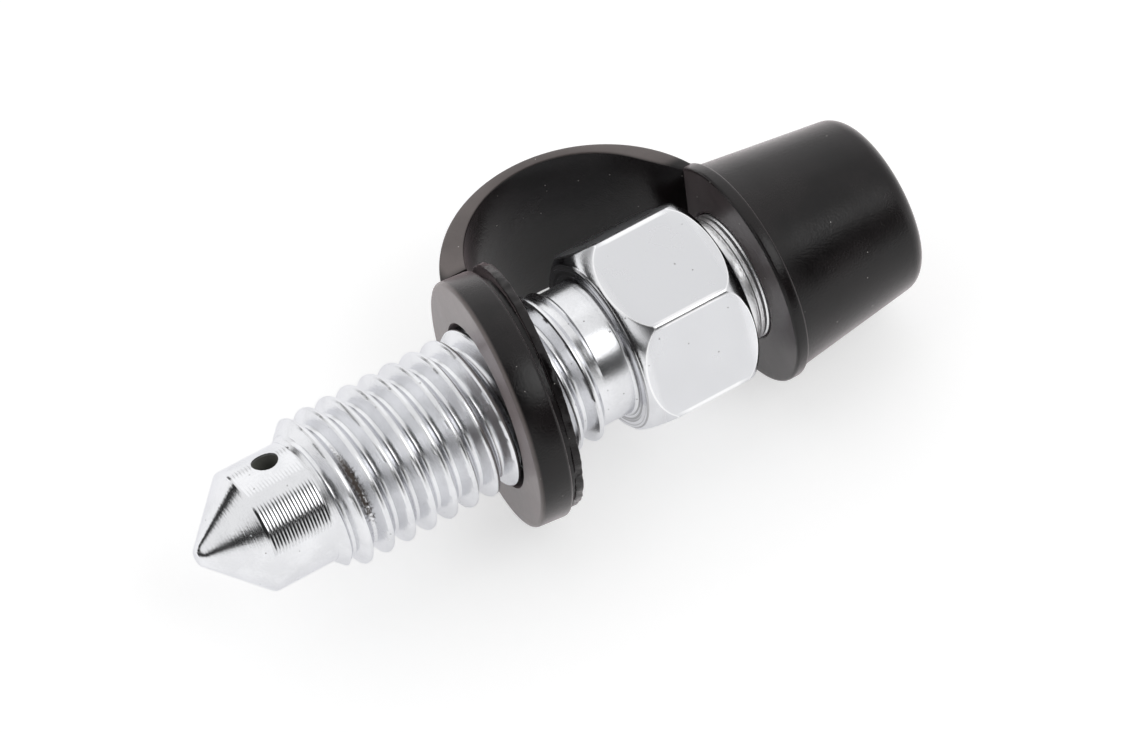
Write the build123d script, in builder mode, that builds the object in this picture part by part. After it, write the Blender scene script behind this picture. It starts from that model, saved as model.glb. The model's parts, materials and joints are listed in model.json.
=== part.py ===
from build123d import *
import math
import os

# A bleeder screw with its dust cap, in millimetres. Both pieces are drawn standing on the
# screw's axis, with heights along +Z from the flat of the tip, and are laid down at the end.

# Screw, from the tip to the hose end
tip_flat_diameter = 1.2
seat_cone_angle = 90.0            # full angle of the sealing cone
pilot_length = 4.75               # plain end between the cone and the thread
pilot_step = 1.25                 # the pilot's radius is less than the thread's by this
cross_hole_diameter = 2.0
cross_hole_height = 6.9
thread_major_diameter = 11.9      # M12 coarse thread, as made
thread_pitch = 1.75
thread_crest_flat = 0.28
thread_root_flat = 0.32
thread_flank_angle = 30.0         # each flank's slope from square to the axis
thread_length = 22.25             # both end cones included
thread_start_angle = 45.0
thread_end_angle = 40.0
groove_lead = 1.3                 # the groove is cut this far past both ends of the thread
neck_step = 0.7                   # the neck's radius is less than the thread's by this
neck_length = 2.3
hex_across_flats = 13.7           # for a 14 mm spanner
hex_length = 9.4
hex_corner_round = 0.6
hex_front_face_step = 0.35        # radius of the face towards the thread, less than to the flats
hex_front_turning = 2.0           # length that the corners are turned off at that end
hex_back_face_step = 0.15         # the same at the end towards the hose
hex_back_turning = 1.8
hex_turning_crown = 0.2           # the turned corners bulge by this
collar_diameter = 9.8             # plain length between the hexagon and the hose end
collar_length = 3.6
hose_neck_diameter = 6.6
hose_neck_length = 1.6
hose_bead_diameter = 8.6
hose_bead_length = 1.8
hose_nose_diameter = 6.4
hose_nose_length = 2.6
nipple_slope_angle = 45.0
bore_diameter = 3.2               # the fluid's way up to the hose
drill_point_angle = 118.0
bore_mouth_chamfer = 0.5

# Dust cap: a cup on the hose end, a strap bent back, and a ring round the thread
running_clearance = 0.08          # cup on the collar and on the hose bead, at the radius
ring_clearance = 0.35             # ring round the thread, at the radius
end_clearance = 0.5               # free length past the collar and past the nose
rim_gap = 2.05                    # from the hexagon to the cup's rim
rim_wall = 3.6                    # from the mouth to the rim's edge
rim_step = 0.35                   # the rim stands out from the cup by this
rim_thickness = 1.0
rim_edge_chamfer = 0.25
cup_nose_wall = 2.35              # side wall at the closed end
cup_end_wall = 1.75               # at the closed end's edge
cup_end_dome = 0.4                # the closed end stands out by this in its middle
cup_end_round = 1.5
ring_height = 23.9                # front face of the ring, on the axis
ring_wall = 3.1                   # from the hole to the ring's edge
ring_thickness = 2.5
ring_edge_chamfer = 0.3
ring_lean = 7.2                   # the bent strap pulls the ring over by this
ring_groove_depth = 0.7           # groove between the ring and its thin lip
ring_groove_width = 0.6
lip_step = 0.15                   # the lip's radius is less than the ring's by this
lip_thickness = 0.65
lip_lean = 8.4
strap_side_step = 2.1             # the strap is narrower than the rim by this, each side
strap_room = 5.5                  # from the hexagon's corners to the back of the bend
strap_bend_thickness = 0.85
strap_ring_thickness = 2.2
strap_rim_thickness = 1.95
strap_ring_setback = 0.3          # from the ring's front face
strap_rim_setback = 0.1           # from the back of the cup's rim
strap_end_cover = 0.15            # how far the strap's ends are sunk in ring and rim
strap_foot = 0.8                  # slope from the strap down to the rim's face

# How the screw is turned in the cap when it lies down, from straight up
cross_hole_turn = 25.6


def rise(across, angle):
    """Length gained along the axis by a slope that stands at an angle to the axis."""
    return across / math.tan(math.radians(angle))


# Widths and heights that follow from these
pilot_diameter = thread_major_diameter - 2 * pilot_step
neck_diameter = thread_major_diameter - 2 * neck_step
cone_height = rise((pilot_diameter - tip_flat_diameter) / 2, seat_cone_angle / 2)
thread_bottom = cone_height + pilot_length
thread_top = thread_bottom + thread_length
hex_bottom = thread_top + neck_length
hex_top = hex_bottom + hex_length
hex_bar_radius = hex_across_flats / math.sqrt(3)
collar_top = hex_top + collar_length
rim_height = hex_top + rim_gap

# Threaded shank: a round bar with one groove along a helix, then turned to the shank's outline.
# The groove runs past both ends of the thread, and the turning takes those ends off.
thread_start_rise = rise((thread_major_diameter - pilot_diameter) / 2, thread_start_angle)
thread_end_rise = rise((thread_major_diameter - neck_diameter) / 2, thread_end_angle)
groove_start = thread_bottom - groove_lead
groove_end = thread_top + groove_lead
with BuildPart() as threaded_shank:
    with BuildSketch():
        Circle(thread_major_diameter / 2)
    extrude(amount=groove_end + thread_pitch)

    # The groove's mouth stands a little outside the bar
    with BuildLine() as groove_path:
        Helix(
            pitch=thread_pitch,
            height=groove_end - groove_start,
            radius=thread_major_diameter / 2,
            center=(0, 0, groove_start),
        )
    widening = (thread_pitch - thread_crest_flat - thread_root_flat) / 2
    mouth_widening = thread_crest_flat / 4
    thread_depth = rise(widening, thread_flank_angle)
    groove_floor_radius = thread_major_diameter / 2 - thread_depth
    groove_mouth_radius = thread_major_diameter / 2 + rise(mouth_widening, thread_flank_angle)
    floor_half = thread_root_flat / 2
    mouth_half = floor_half + widening + mouth_widening
    with BuildSketch(Plane.XZ):
        with BuildLine():
            Polyline(
                (groove_floor_radius, groove_start - floor_half),
                (groove_mouth_radius, groove_start - mouth_half),
                (groove_mouth_radius, groove_start + mouth_half),
                (groove_floor_radius, groove_start + floor_half),
                close=True,
            )
        make_face()
    sweep(path=groove_path.line, is_frenet=True, mode=Mode.SUBTRACT)

    # Sealing cone, pilot and the cones at both ends of the thread
    with BuildSketch(Plane.XZ):
        with BuildLine():
            Polyline(
                (0, 0),
                (tip_flat_diameter / 2, 0),
                (pilot_diameter / 2, cone_height),
                (pilot_diameter / 2, thread_bottom),
                (thread_major_diameter / 2, thread_bottom + thread_start_rise),
                (thread_major_diameter / 2, thread_top - thread_end_rise),
                (neck_diameter / 2, thread_top),
                (0, thread_top),
                close=True,
            )
        make_face()
    revolve(axis=Axis.Z, mode=Mode.INTERSECT)

# Hexagon: a rolled bar, its corners turned off at both ends with a slightly bulging chamfer
front_face_radius = hex_across_flats / 2 - hex_front_face_step
back_face_radius = hex_across_flats / 2 - hex_back_face_step
with BuildPart() as hexagon:
    with BuildSketch(Plane.XY.offset(hex_bottom)) as hex_section:
        RegularPolygon(hex_across_flats / 2, 6, major_radius=False)
        fillet(hex_section.vertices(), hex_corner_round)
    extrude(amount=hex_length)
    with BuildSketch(Plane.XZ):
        with BuildLine():
            Line((0, hex_bottom), (front_face_radius, hex_bottom))
            SagittaArc(
                (front_face_radius, hex_bottom),
                (hex_bar_radius, hex_bottom + hex_front_turning),
                -hex_turning_crown,
            )
            Line((hex_bar_radius, hex_bottom + hex_front_turning), (hex_bar_radius, hex_top - hex_back_turning))
            SagittaArc(
                (hex_bar_radius, hex_top - hex_back_turning),
                (back_face_radius, hex_top),
                -hex_turning_crown,
            )
            Polyline((back_face_radius, hex_top), (0, hex_top), (0, hex_bottom))
        make_face()
    revolve(axis=Axis.Z, mode=Mode.INTERSECT)

# Whole screw: shank, neck, hexagon, collar and hose end, then the two drillings
hose_neck_start = collar_top + rise((collar_diameter - hose_neck_diameter) / 2, nipple_slope_angle)
bead_start = hose_neck_start + hose_neck_length
bead_bottom = bead_start + rise((hose_bead_diameter - hose_neck_diameter) / 2, nipple_slope_angle)
bead_top = bead_bottom + hose_bead_length
nipple_top = bead_top + hose_nose_length
bore_bottom = cross_hole_height - cross_hole_diameter / 2
drill_point = rise(bore_diameter / 2, drill_point_angle / 2)
with BuildPart() as turned_screw:
    add(threaded_shank.part)
    with BuildSketch(Plane.XY.offset(thread_top)):
        Circle(neck_diameter / 2)
    extrude(amount=neck_length)
    add(hexagon.part)
    with BuildSketch(Plane.XZ):
        with BuildLine():
            Polyline(
                (0, hex_top),
                (collar_diameter / 2, hex_top),
                (collar_diameter / 2, collar_top),
                (hose_neck_diameter / 2, hose_neck_start),
                (hose_neck_diameter / 2, bead_start),
                (hose_bead_diameter / 2, bead_bottom),
                (hose_bead_diameter / 2, bead_top),
                (hose_nose_diameter / 2, nipple_top),
                (0, nipple_top),
                close=True,
            )
        make_face()
    revolve(axis=Axis.Z)
    with BuildSketch(Plane.XZ):
        with BuildLine():
            Polyline(
                (0, bore_bottom - drill_point),
                (bore_diameter / 2, bore_bottom),
                (bore_diameter / 2, nipple_top - bore_mouth_chamfer),
                (bore_diameter / 2 + bore_mouth_chamfer, nipple_top),
                (0, nipple_top),
                close=True,
            )
        make_face()
    revolve(axis=Axis.Z, mode=Mode.SUBTRACT)
    with BuildSketch(Plane.YZ):
        with Locations((0, cross_hole_height)):
            Circle(cross_hole_diameter / 2)
    extrude(amount=pilot_diameter, mode=Mode.SUBTRACT)

# Dust cap, drawn with its strap on the +X side
mouth_radius = collar_diameter / 2 + running_clearance
mouth_floor = collar_top + rise((collar_diameter - hose_bead_diameter) / 2, nipple_slope_angle) + end_clearance
cavity_radius = hose_bead_diameter / 2 + running_clearance
cavity_top = nipple_top + end_clearance
rim_radius = mouth_radius + rim_wall
cup_radius = rim_radius - rim_step
cup_end_radius = cavity_radius + cup_nose_wall
cup_top = cavity_top + cup_end_wall
end_dome_radius = (cup_end_radius**2 + cup_end_dome**2) / (2 * cup_end_dome)
ring_hole_radius = thread_major_diameter / 2 + ring_clearance
ring_radius = ring_hole_radius + ring_wall
ring_plane = Plane.XY.offset(ring_height).rotated((0, -ring_lean, 0))
lip_height = ring_height + ring_thickness + ring_groove_width
lip_radius = ring_radius - lip_step
lip_plane = Plane.XY.offset(lip_height).rotated((0, -lip_lean, 0))
strap_half_width = rim_radius - strap_side_step
strap_reach = hex_bar_radius + strap_room
strap_ring_level = math.sqrt(ring_radius**2 - strap_half_width**2) - strap_end_cover
strap_rim_level = math.sqrt(rim_radius**2 - strap_half_width**2) - strap_end_cover
ring_rise_there = strap_ring_level * math.tan(math.radians(ring_lean))
strap_ring_height = ring_height + ring_rise_there + strap_ring_setback
strap_rim_height = rim_height + rim_thickness - strap_rim_setback
strap_middle = (strap_ring_height + strap_rim_height) / 2
with BuildPart() as moulded_cap:
    with BuildSketch(ring_plane):
        Circle(ring_radius)
    extrude(amount=ring_thickness)
    chamfer(moulded_cap.edges().filter_by(GeomType.CIRCLE), ring_edge_chamfer)
    with BuildSketch(ring_plane):
        Circle(ring_radius - ring_groove_depth)
    extrude(amount=lip_height - ring_height)
    with BuildSketch(lip_plane):
        Circle(lip_radius)
    extrude(amount=lip_thickness)

    # Cup: rim flange, tapered wall and rounded end
    with BuildSketch(Plane.XZ) as cup_section:
        with BuildLine():
            Polyline(
                (0, rim_height),
                (rim_radius, rim_height),
                (rim_radius, rim_height + rim_thickness),
                (cup_radius, rim_height + rim_thickness),
                (cup_end_radius, cup_top),
            )
            RadiusArc((cup_end_radius, cup_top), (0, cup_top + cup_end_dome), -end_dome_radius)
            Line((0, cup_top + cup_end_dome), (0, rim_height))
        make_face()
        chamfer(cup_section.vertices().group_by(Axis.X)[-1], rim_edge_chamfer)
        fillet(cup_section.vertices().sort_by_distance((cup_end_radius, cup_top))[0], cup_end_round)
    revolve(axis=Axis.Z)

    # Strap: thick at ring and rim, thin at the bend between them
    with BuildSketch(Plane.XZ):
        with BuildLine():
            back = ThreePointArc(
                (strap_ring_level, strap_ring_height),
                (strap_reach, strap_middle),
                (strap_rim_level, strap_rim_height),
            )
            inside = ThreePointArc(
                (strap_ring_level, strap_ring_height + strap_ring_thickness),
                (strap_reach - strap_bend_thickness, strap_middle),
                (strap_rim_level + strap_foot, strap_rim_height - strap_rim_thickness),
            )
            Line(back @ 0, inside @ 0)
            Polyline(inside @ 1, (strap_rim_level, rim_height), back @ 1)
        make_face()
    extrude(amount=strap_half_width, both=True)

    # Cavity of the cup, and the hole that the thread passes through
    with BuildSketch(Plane.XZ):
        with BuildLine():
            Polyline(
                (0, rim_height),
                (mouth_radius, rim_height),
                (mouth_radius, mouth_floor),
                (cavity_radius, mouth_floor),
                (cavity_radius, cavity_top),
                (0, cavity_top),
                close=True,
            )
        make_face()
    revolve(axis=Axis.Z, mode=Mode.SUBTRACT)
    with BuildSketch(Plane.XY.offset(ring_height - ring_radius)):
        Circle(ring_hole_radius)
    extrude(amount=2 * ring_radius + lip_height - ring_height, mode=Mode.SUBTRACT)

# Lying down, the ring, the cup's rim and the strap's edge touch the table and the tip is in
# the air. Each reach is how far a form stands out towards the table, from the tip's centre.


def disc_reach(down, plane, depth, radius):
    """Reach of a circle that lies at a depth behind a disc's front plane."""
    centre = plane.origin + plane.z_dir * depth
    return down.dot(centre) + radius * math.sqrt(1 - down.dot(plane.z_dir) ** 2)


def ring_reach(down):
    """Reach of the ring's two edges and of its lip."""
    return max(
        disc_reach(down, ring_plane, ring_edge_chamfer, ring_radius),
        disc_reach(down, ring_plane, ring_thickness - ring_edge_chamfer, ring_radius),
        disc_reach(down, lip_plane, lip_thickness, lip_radius),
    )


def rim_reach(down):
    """Reach of the two edges of the cup's rim."""
    rim_plane = Plane.XY.offset(rim_height)
    return max(
        disc_reach(down, rim_plane, rim_edge_chamfer, rim_radius),
        disc_reach(down, rim_plane, rim_thickness - rim_edge_chamfer, rim_radius),
    )


def strap_reach_down(down):
    """Reach of the strap's bend. The centre of its arc is as the strap's sketch has it."""
    middle = back.arc_center
    arc = back.radius * math.hypot(down.X, down.Z)
    return middle.X * down.X + middle.Y * down.Z + arc + abs(down.Y) * strap_half_width


def down_in_cap(dip, strap_turn):
    """The way down as the cap's own X, Y and Z see it."""
    flat = math.cos(dip)
    return Vector(flat * math.cos(strap_turn), -flat * math.sin(strap_turn), math.sin(dip))


dip = 0.0                         # how far the axis falls from tip to cup, in radians
strap_turn = math.pi / 2          # the strap's side, from straight down, in radians
settling_steps = 60
for step in range(settling_steps):
    down = down_in_cap(dip, strap_turn)
    dip += (ring_reach(down) - rim_reach(down)) / (rim_height - ring_height)
    strap_turn += (strap_reach_down(down) - ring_reach(down)) / strap_reach
tip_clearance = ring_reach(down_in_cap(dip, strap_turn))

axis_way = Vector(math.cos(dip), 0, -math.sin(dip))
up_way = Vector(math.sin(dip), 0, math.cos(dip))
side_way = Vector(0, 1, 0)
strap_way = side_way * math.sin(strap_turn) - up_way * math.cos(strap_turn)
hole_angle = math.radians(cross_hole_turn)
hole_way = up_way * math.cos(hole_angle) + side_way * math.sin(hole_angle)
table_tip = Vector(0, 0, tip_clearance)
loose_cap = moulded_cap.part.moved(Plane(table_tip, x_dir=strap_way, z_dir=axis_way).location)
loose_screw = turned_screw.part.moved(Plane(table_tip, x_dir=hole_way, z_dir=axis_way).location)

# The origin is on the table, under the middle of the whole
footprint = Compound([loose_cap, loose_screw]).bounding_box().center()
tip_place = table_tip - Vector(footprint.X, footprint.Y, 0)
with BuildPart() as bleeder_screw:
    add(turned_screw.part.moved(Plane(tip_place, x_dir=hole_way, z_dir=axis_way).location))
with BuildPart() as dust_cap:
    add(moulded_cap.part.moved(Plane(tip_place, x_dir=strap_way, z_dir=axis_way).location))

bleeder_screw.part.label = "bleeder_screw"
dust_cap.part.label = "dust_cap"
os.makedirs("parts", exist_ok=True)
export_step(bleeder_screw.part, "parts/bleeder_screw.step")
export_step(dust_cap.part, "parts/dust_cap.step")
print("dip", math.degrees(dip), "strap turn", math.degrees(strap_turn), "tip at", tip_place)
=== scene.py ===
import json
import math
import bmesh
import bpy
from mathutils import Matrix, Vector, noise
from mathutils.kdtree import KDTree


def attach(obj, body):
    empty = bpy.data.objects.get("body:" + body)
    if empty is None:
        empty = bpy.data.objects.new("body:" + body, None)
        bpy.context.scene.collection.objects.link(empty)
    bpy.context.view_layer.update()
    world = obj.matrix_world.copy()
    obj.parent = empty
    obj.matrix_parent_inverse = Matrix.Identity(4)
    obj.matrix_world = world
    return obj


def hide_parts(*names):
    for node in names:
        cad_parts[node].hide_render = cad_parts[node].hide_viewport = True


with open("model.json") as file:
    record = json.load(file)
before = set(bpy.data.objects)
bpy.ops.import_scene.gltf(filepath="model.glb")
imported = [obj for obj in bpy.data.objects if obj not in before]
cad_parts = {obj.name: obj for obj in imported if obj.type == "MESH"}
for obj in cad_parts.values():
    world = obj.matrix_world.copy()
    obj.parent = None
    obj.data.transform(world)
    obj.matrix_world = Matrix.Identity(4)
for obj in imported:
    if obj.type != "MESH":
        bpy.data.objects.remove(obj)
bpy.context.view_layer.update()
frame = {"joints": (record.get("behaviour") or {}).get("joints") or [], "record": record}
mm = 0.001             # sizes below are in millimetres, Blender's own unit here is the metre
mergeWithin = 0.0008   # points closer than this are one

# Where the frame says the screw lies: its axis, its tip, and how each piece is turned about it
mounts = {mount["name"]: mount for mount in frame["record"]["mounts"]}
axisWay = Vector(frame["joints"][0]["axis"]).normalized()
levelWay = Vector((0, 1, 0))
upWay = axisWay.cross(levelWay)
place = {
    "pilotMiddle": 6.475,  # the pilot mount's height above the tip
    "holeTurn": 25.6,      # the cross hole, from straight up
    "strapTurn": 78.864,   # the strap, from straight down
}
tip = Vector(mounts["pilot"]["pos_m"]) / mm - axisWay * place["pilotMiddle"]


def ownFrame(outWay):
    # from a piece's own axes, heights along the screw, to the shared frame in metres
    side = axisWay.cross(outWay)
    turned = Matrix((outWay, side, axisWay)).transposed().to_4x4()
    return Matrix.Scale(mm, 4) @ Matrix.Translation(tip) @ turned


def between(start, end, degrees):
    turn = math.radians(degrees)
    return start * math.cos(turn) + end * math.sin(turn)


screwFrame = ownFrame(between(upWay, levelWay, place["holeTurn"]))
capFrame = ownFrame(between(-upWay, levelWay, place["strapTurn"]))


# Node and mesh helpers
def addNode(tree, kind, inputs=None, **settings):
    made = tree.nodes.new(kind)
    for name, value in settings.items():
        setattr(made, name, value)
    for key, value in (inputs or {}).items():
        if isinstance(value, bpy.types.NodeSocket):
            tree.links.new(value, made.inputs[key])
        else:
            made.inputs[key].default_value = value
    return made


def calc(tree, operation, *values):
    return addNode(tree, "ShaderNodeMath", dict(enumerate(values)), operation=operation).outputs[0]


def times(tree, first, second):
    return calc(tree, "MULTIPLY", first, second)


def scaled(tree, value, low, high, toLow=0.0, toHigh=1.0, smooth=False):
    kind = "SMOOTHSTEP" if smooth else "LINEAR"
    inputs = {"Value": value, "From Min": low, "From Max": high, "To Min": toLow, "To Max": toHigh}
    return addNode(tree, "ShaderNodeMapRange", inputs, interpolation_type=kind).outputs["Result"]


def bandPass(tree, value, low, high, edge):
    rising = scaled(tree, value, low - edge, low + edge, smooth=True)
    return calc(tree, "MULTIPLY", rising, scaled(tree, value, high - edge, high + edge, 1.0, 0.0, smooth=True))


def mixed(tree, share, first, second):
    return addNode(tree, "ShaderNodeMix", {0: share, 6: first, 7: second}, data_type="RGBA").outputs[2]


def noiseOn(tree, vector, scale, detail=3.0):
    return addNode(tree, "ShaderNodeTexNoise", {"Vector": vector, "Scale": scale, "Detail": detail}).outputs["Fac"]


def makeObject(name, mesh):
    piece = bpy.data.objects.new(name, mesh)
    bpy.context.scene.collection.objects.link(piece)
    return piece


def meshFrom(name, points, faces):
    mesh = bpy.data.meshes.new(name)
    mesh.from_pydata(points, [], faces)
    shape = bmesh.new()
    shape.from_mesh(mesh)
    bmesh.ops.remove_doubles(shape, verts=shape.verts, dist=mergeWithin)
    bmesh.ops.recalc_face_normals(shape, faces=shape.faces)
    shape.to_mesh(mesh)
    shape.free()
    return mesh


def evaluatedMesh(piece):
    # the piece with its modifiers as a plain mesh, the piece itself goes
    made = bpy.data.meshes.new_from_object(piece.evaluated_get(bpy.context.evaluated_depsgraph_get()))
    bpy.data.objects.remove(piece)
    return made


def carve(mesh, operation, tool):
    base = makeObject("base", mesh)
    other = makeObject("tool", tool)
    cut = base.modifiers.new("cut", "BOOLEAN")
    cut.operation = operation
    cut.solver = "MANIFOLD"
    cut.object = other
    made = evaluatedMesh(base)
    bpy.data.objects.remove(other)
    return made


def skin(rows, ringed=True):
    # faces between rows of points of one length, a row of one point closes the form
    points, faces, starts = [], [], []
    for row in rows:
        starts.append(len(points))
        points.extend(row)
    for number, (lower, upper) in enumerate(zip(rows, rows[1:])):
        low, high = starts[number], starts[number + 1]
        count = max(len(lower), len(upper))
        for step in range(count if ringed else count - 1):
            after = (step + 1) % count
            if len(lower) == 1:
                faces.append((low, high + after, high + step))
            elif len(upper) == 1:
                faces.append((low + step, low + after, high))
            else:
                faces.append((low + step, low + after, high + after, high + step))
    return points, faces


def lathe(outline, turns):
    # (radius, height) pairs spun about Z, or lists of them with one pair for each turn
    rows = []
    for row in outline:
        pairs = row if isinstance(row, list) else [row] * len(turns)
        if pairs[0][0] == 0:
            rows.append([(0, 0, pairs[0][1])])
        else:
            rows.append([(radius * math.cos(turn), radius * math.sin(turn), height)
                         for (radius, height), turn in zip(pairs, turns)])
    return skin(rows)


def arc(centre, radius, start, end, steps):
    # points on an arc, angles in degrees from straight out
    made = []
    for step in range(steps + 1):
        angle = math.radians(start + (end - start) * step / steps)
        made.append((centre[0] + radius * math.cos(angle), centre[1] + radius * math.sin(angle)))
    return made


def evenTurns(count):
    return [2 * math.pi * step / count for step in range(count)]


def smoothByAngle(mesh, degrees):
    # clears the slivers that cutting leaves, then shades what is flatter than the angle as one surface
    shape = bmesh.new()
    shape.from_mesh(mesh)
    bmesh.ops.remove_doubles(shape, verts=shape.verts, dist=mergeWithin)
    bmesh.ops.dissolve_degenerate(shape, edges=shape.edges, dist=mergeWithin)
    for face in shape.faces:
        face.smooth = True
    for edge in shape.edges:
        edge.smooth = edge.calc_face_angle(math.pi) < math.radians(degrees)
    shape.to_mesh(mesh)
    shape.free()


def paintEdgeHighlight(mesh, edgePoints, within):
    # an attribute that is 1 on the hexagon's broken edges, where the steel gets a painted highlight
    near = KDTree(len(edgePoints))
    for number, point in enumerate(edgePoints):
        near.insert(point, number)
    near.balance()
    mark = mesh.attributes.new("edge", "FLOAT", "POINT")
    for number, vertex in enumerate(mesh.vertices):
        mark.data[number].value = 1.0 if near.find(vertex.co)[2] < within else 0.0


def finishPiece(name, mesh, toShared, body, node, material):
    # keeps the piece's own place in millimetres for its material, then lays it in the shared frame
    own = mesh.attributes.new("own", "FLOAT_VECTOR", "POINT")
    own.data.foreach_set("vector", [number for vertex in mesh.vertices for number in vertex.co])
    mesh.transform(toShared)
    mesh.materials.clear()
    mesh.materials.append(material)
    piece = makeObject(name, mesh)
    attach(piece, body)
    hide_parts(node)
    print(name, "made,", sum(len(face.vertices) - 2 for face in mesh.polygons), "triangles")


# Camera, placed as the photograph was taken
camera = {
    "aim": (1.111, -3.189, 10.434),  # mm, in the shared frame
    "azimuth": 30.31,
    "elevation": 57.79,
    "roll": -2.71,
    "distance": 496.7,
    "lens": 223.6,
    "sensor": 36,
    "clipStart": 0.01,  # metres
}


def cameraTurn():
    azimuth = math.radians(camera["azimuth"])
    elevation = math.radians(camera["elevation"])
    level = Vector((math.sin(azimuth), math.cos(azimuth), 0)) * math.cos(elevation)
    sight = level - Vector((0, 0, math.sin(elevation)))
    right = Vector((math.cos(azimuth), -math.sin(azimuth), 0))
    turned = Matrix((right, right.cross(sight), -sight)).transposed()
    return turned @ Matrix.Rotation(math.radians(camera["roll"]), 3, "Z")


def setCamera():
    holder = bpy.data.objects.new("camera", bpy.data.cameras.new("camera"))
    holder.data.lens = camera["lens"]
    holder.data.sensor_width = camera["sensor"]
    holder.data.clip_start = camera["clipStart"]
    turned = cameraTurn()
    where = (Vector(camera["aim"]) + turned.col[2] * camera["distance"]) * mm
    holder.matrix_world = Matrix.Translation(where) @ turned.to_4x4()
    bpy.context.scene.collection.objects.link(holder)
    bpy.context.scene.camera = holder


setCamera()
bpy.context.scene.view_settings.view_transform = "Standard"
print("camera set")

# Screw: thread by Geometry Nodes, the turned lengths and the hexagon by rows of points
screw = {
    "around": 204,            # a multiple of 6, so that points stand on the hexagon's corners
    "cornerCrowding": 0.7,    # how much closer the points stand at the corners
    "tipFlat": 0.6,
    "tipBreak": 0.05,
    "coneTop": 4.1,
    "coneRows": 10,
    "coneBreak": 0.06,
    "pilotRadius": 4.7,
    "pilotMargin": 0.05,      # plain length at both ends of the pilot
    "turnedLine": 0.264,      # spacing of the turning marks on the pilot
    "turnedDepth": 0.020,
    "turnedRows": 5,          # rows of points for each turning mark
    "threadBottom": 8.85,
    "threadTop": 31.1,
    "neckRadius": 5.25,
    "neckRows": (31.8, 32.5),
    "neckFillet": 0.25,
    "filletSteps": 4,
    "hexBottom": 33.4,
    "hexTop": 42.8,
    "hexFlat": 6.85,          # half across flats
    "hexCornerRound": 0.4,
    "hexRows": 6,
    "chamferRows": 10,
    "cornerWithin": 0.04,     # radians from a corner that its bright edge takes
    "edgeWithin": 0.02,       # mm from a bright edge that take its colour
    "frontFace": 6.5,         # radius of the flat face towards the thread
    "frontTurning": 2.0,      # length that the corners are turned off
    "backFace": 6.7,
    "backTurning": 1.8,
    "turningCrown": 0.2,
    "edgeBreak": 0.11,
    "collarRadius": 4.9,
    "collarFoot": ((0.2, 0), (0.06, 0.06), (0, 0.15)),  # out from the collar, up from the hexagon
    "collarFirst": 0.2,
    "collarLine": 0.36,       # rough turning marks between the hexagon and the cup
    "collarLines": 6,
    "collarDepth": 0.07,
    "collarDepths": (0.55, 0.45, 2.1),   # middle, swing and pace of what makes the marks uneven
    "collarPlaces": (0.5, 0.2, 3.7),
    "collarTop": 46.3,
    "hoseEnd": ((4.83, 46.47), (3.3, 48.0), (3.3, 49.6), (4.22, 50.52), (4.3, 50.7),
                (4.3, 52.3), (4.27, 52.5), (3.23, 54.9), (3.1, 55.0), (2.1, 55.0)),
    "boreRadius": 1.6,
    "boreRows": (54.5, 30.0, 5.9),
    "borePoint": 4.94,
    "crossHoleRadius": 1.0,
    "crossHoleHeight": 6.9,
    "crossHoleRun": (1.0, 6),
    "crossHoleAround": 64,
    "joinWithin": 3 * mergeWithin,  # mm, where the turned lengths meet the thread
    "smoothBelow": 24,        # degrees
}
thread = {
    "Pitch": 1.75,
    "First groove": 7.55,
    "Lower end": screw["threadBottom"],
    "Upper end": screw["threadTop"],
    "Crest radius": 5.95,
    "Root radius": 4.954,
    "Root half": 0.16,
    "Pilot radius": screw["pilotRadius"],
    "Neck radius": screw["neckRadius"],
    "End slope": 0.839,
    "Crest rounding": 0.10,
    "Root rounding": 0.12,
    "Crest wander": 0.03,
    "Corner crowding": screw["cornerCrowding"],
    "Around": screw["around"],
    "Rows": 192,              # 24 mm in steps of 1/14 of the pitch
}
threadDetail = {
    "flankLean": 30,          # degrees
    "runout": 1.7,
    "wanderReach": 4.0,
    "wanderScale": 0.9,
}
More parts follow.
